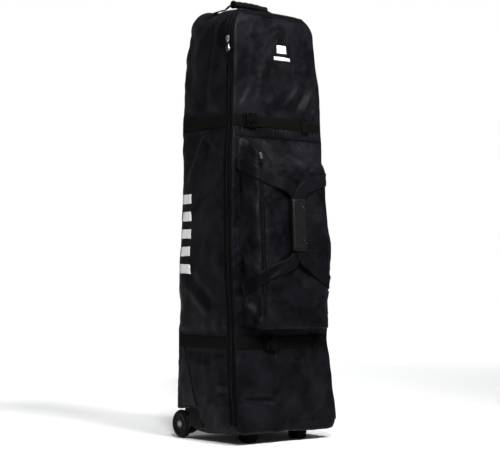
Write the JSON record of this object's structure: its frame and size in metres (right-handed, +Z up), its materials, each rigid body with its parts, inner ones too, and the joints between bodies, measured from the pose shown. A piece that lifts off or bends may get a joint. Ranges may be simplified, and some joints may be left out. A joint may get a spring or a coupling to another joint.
{
  "type": "golf travel case",
  "caption": "Tall soft wheeled travel case for a golf bag, with a zipped front lid, front pocket, cinch straps, wrapped carrying handle, top grab handle, rear wheels and front feet.",
  "frame": {"origin": "on the floor, under the middle of the bounding box", "axes": "+Z up, +X to the right seen from the front, front with the pocket towards -Y, wheels towards +Y"},
  "size_m": [0.3992, 0.405, 1.3725],
  "materials": {
    "shell_fabric": "padded woven nylon",
    "webbing": "ribbed webbing",
    "handle_grip": "padded webbing grip",
    "zip_tape": "zip tape and coil",
    "metal": "satin nickel",
    "plastic": "moulded, fine texture",
    "tyre": "smooth polyurethane",
    "hub": "moulded",
    "leatherette": "soft grained",
    "board": "sheet plastic",
    "foam": "closed-cell foam",
    "pull_cord": "braided cord",
    "white_print": "plain white print"
  },
  "bodies": {
    "tub": {"back_panel": "shell_fabric", "left_gusset": "shell_fabric", "right_gusset": "shell_fabric", "top_panel": "shell_fabric", "bottom_panel": "shell_fabric", "rear_zip_tape": "zip_tape", "back_board": "board", "base_board": "board", "crown_pad": "foam", "inner_strap": "webbing", "inner_buckle": "plastic", "kick_plate": "plastic", "left_wheel_housing": "plastic", "right_wheel_housing": "plastic", "left_foot": "plastic", "right_foot": "plastic", "left_axle": "metal", "right_axle": "metal", "upper_strap_rear": "webbing", "lower_strap_rear": "webbing", "left_handle_tab": "webbing", "right_handle_tab": "webbing"},
    "lid": {"front_panel": "shell_fabric", "front_zip_tape": "zip_tape", "pocket_gusset": "shell_fabric", "pocket_face": "shell_fabric", "pocket_zip_tape": "zip_tape", "upper_strap_front": "webbing", "lower_strap_front": "webbing", "upper_buckle_tail": "webbing", "lower_buckle_tail": "webbing", "upper_buckle_socket": "plastic", "lower_buckle_socket": "plastic", "upper_adjuster": "plastic", "lower_adjuster": "plastic", "left_haul_strap": "webbing", "right_haul_strap": "webbing", "handle_wrap": "leatherette"},
    "left_wheel": {"left_tyre": "tyre", "left_hub": "hub", "left_bearing_outer": "metal", "left_bearing_inner": "metal"},
    "right_wheel": {"right_tyre": "tyre", "right_hub": "hub", "right_bearing_outer": "metal", "right_bearing_inner": "metal"},
    "top_handle": {"top_handle_grip": "handle_grip", "top_handle_webbing": "webbing"},
    "upper_slider": {"main_upper_slider": "metal"},
    "upper_pull": {"main_upper_pull": "pull_cord"},
    "lower_slider": {"main_lower_slider": "metal"},
    "lower_pull": {"main_lower_pull": "pull_cord"},
    "pocket_slider_body": {"pocket_slider": "metal"},
    "pocket_pull_body": {"pocket_pull": "pull_cord"},
    "upper_plug": {"upper_buckle_plug": "plastic"},
    "lower_plug": {"lower_buckle_plug": "plastic"},
    "flap": {"wrap_flap": "leatherette", "upper_snap_cap": "metal", "lower_snap_cap": "metal"}
  },
  "joints": [
    {"name": "lid_open", "type": "hinge", "parent": "tub", "child": "lid", "pos_m": [0, -0.13925, 0.055], "axis": [1, 0, 0], "range_deg": [0, 75]},
    {"name": "left_wheel_spin", "type": "hinge", "parent": "tub", "child": "left_wheel", "pos_m": [-0.187, 0.1584, 0.044], "axis": [1, 0, 0], "continuous": true},
    {"name": "right_wheel_spin", "type": "hinge", "parent": "tub", "child": "right_wheel", "pos_m": [0.187, 0.1584, 0.044], "axis": [1, 0, 0], "continuous": true},
    {"name": "top_handle_tilt", "type": "hinge", "parent": "tub", "child": "top_handle", "pos_m": [0, 0.05, 1.3275], "axis": [1, 0, 0], "range_deg": [-60, 60], "stiffness_Nm_per_rad": 0.08, "deforming": ["top_handle_webbing"]},
    {"name": "upper_zip_slide", "type": "slide", "parent": "tub", "child": "upper_slider", "axis": [0.022, 0.0499, 0.9985], "range_m": [0, 0.012]},
    {"name": "lower_zip_slide", "type": "slide", "parent": "tub", "child": "lower_slider", "axis": [0.022, 0.0499, 0.9985], "range_m": [-1.09, 0]},
    {"name": "upper_pull_swing", "type": "hinge", "parent": "upper_slider", "child": "upper_pull", "pos_m": [-0.18082, -0.06632, 1.22192], "axis": [-0.0011, 0.9988, -0.0499], "range_deg": [0, 140]},
    {"name": "lower_pull_swing", "type": "hinge", "parent": "lower_slider", "child": "lower_pull", "pos_m": [-0.17644, -0.06093, 1.19347], "axis": [-0.0011, 0.9988, -0.0499], "range_deg": [0, 140]},
    {"name": "pocket_zip_slide", "type": "slide", "parent": "lid", "child": "pocket_slider_body", "axis": [0, 0.0499, 0.9988], "range_m": [-0.455, 0]},
    {"name": "pocket_pull_swing", "type": "hinge", "parent": "pocket_slider_body", "child": "pocket_pull_body", "pos_m": [-0.123, -0.16207, 0.86308], "axis": [-1, 0, 0], "range_deg": [0, 120]},
    {"name": "upper_buckle_release", "type": "slide", "parent": "lid", "child": "upper_plug", "axis": [-1, 0, 0], "range_m": [0, 0.022], "deforming": ["upper_buckle_tail"]},
    {"name": "lower_buckle_release", "type": "slide", "parent": "lid", "child": "lower_plug", "axis": [-1, 0, 0], "range_m": [0, 0.022], "deforming": ["lower_buckle_tail"]},
    {"name": "wrap_flap_open", "type": "hinge", "parent": "lid", "child": "flap", "pos_m": [-0.028, -0.19723, 0.65958], "axis": [0, -0.0499, -0.9988], "range_deg": [0, 120]}
  ]
}
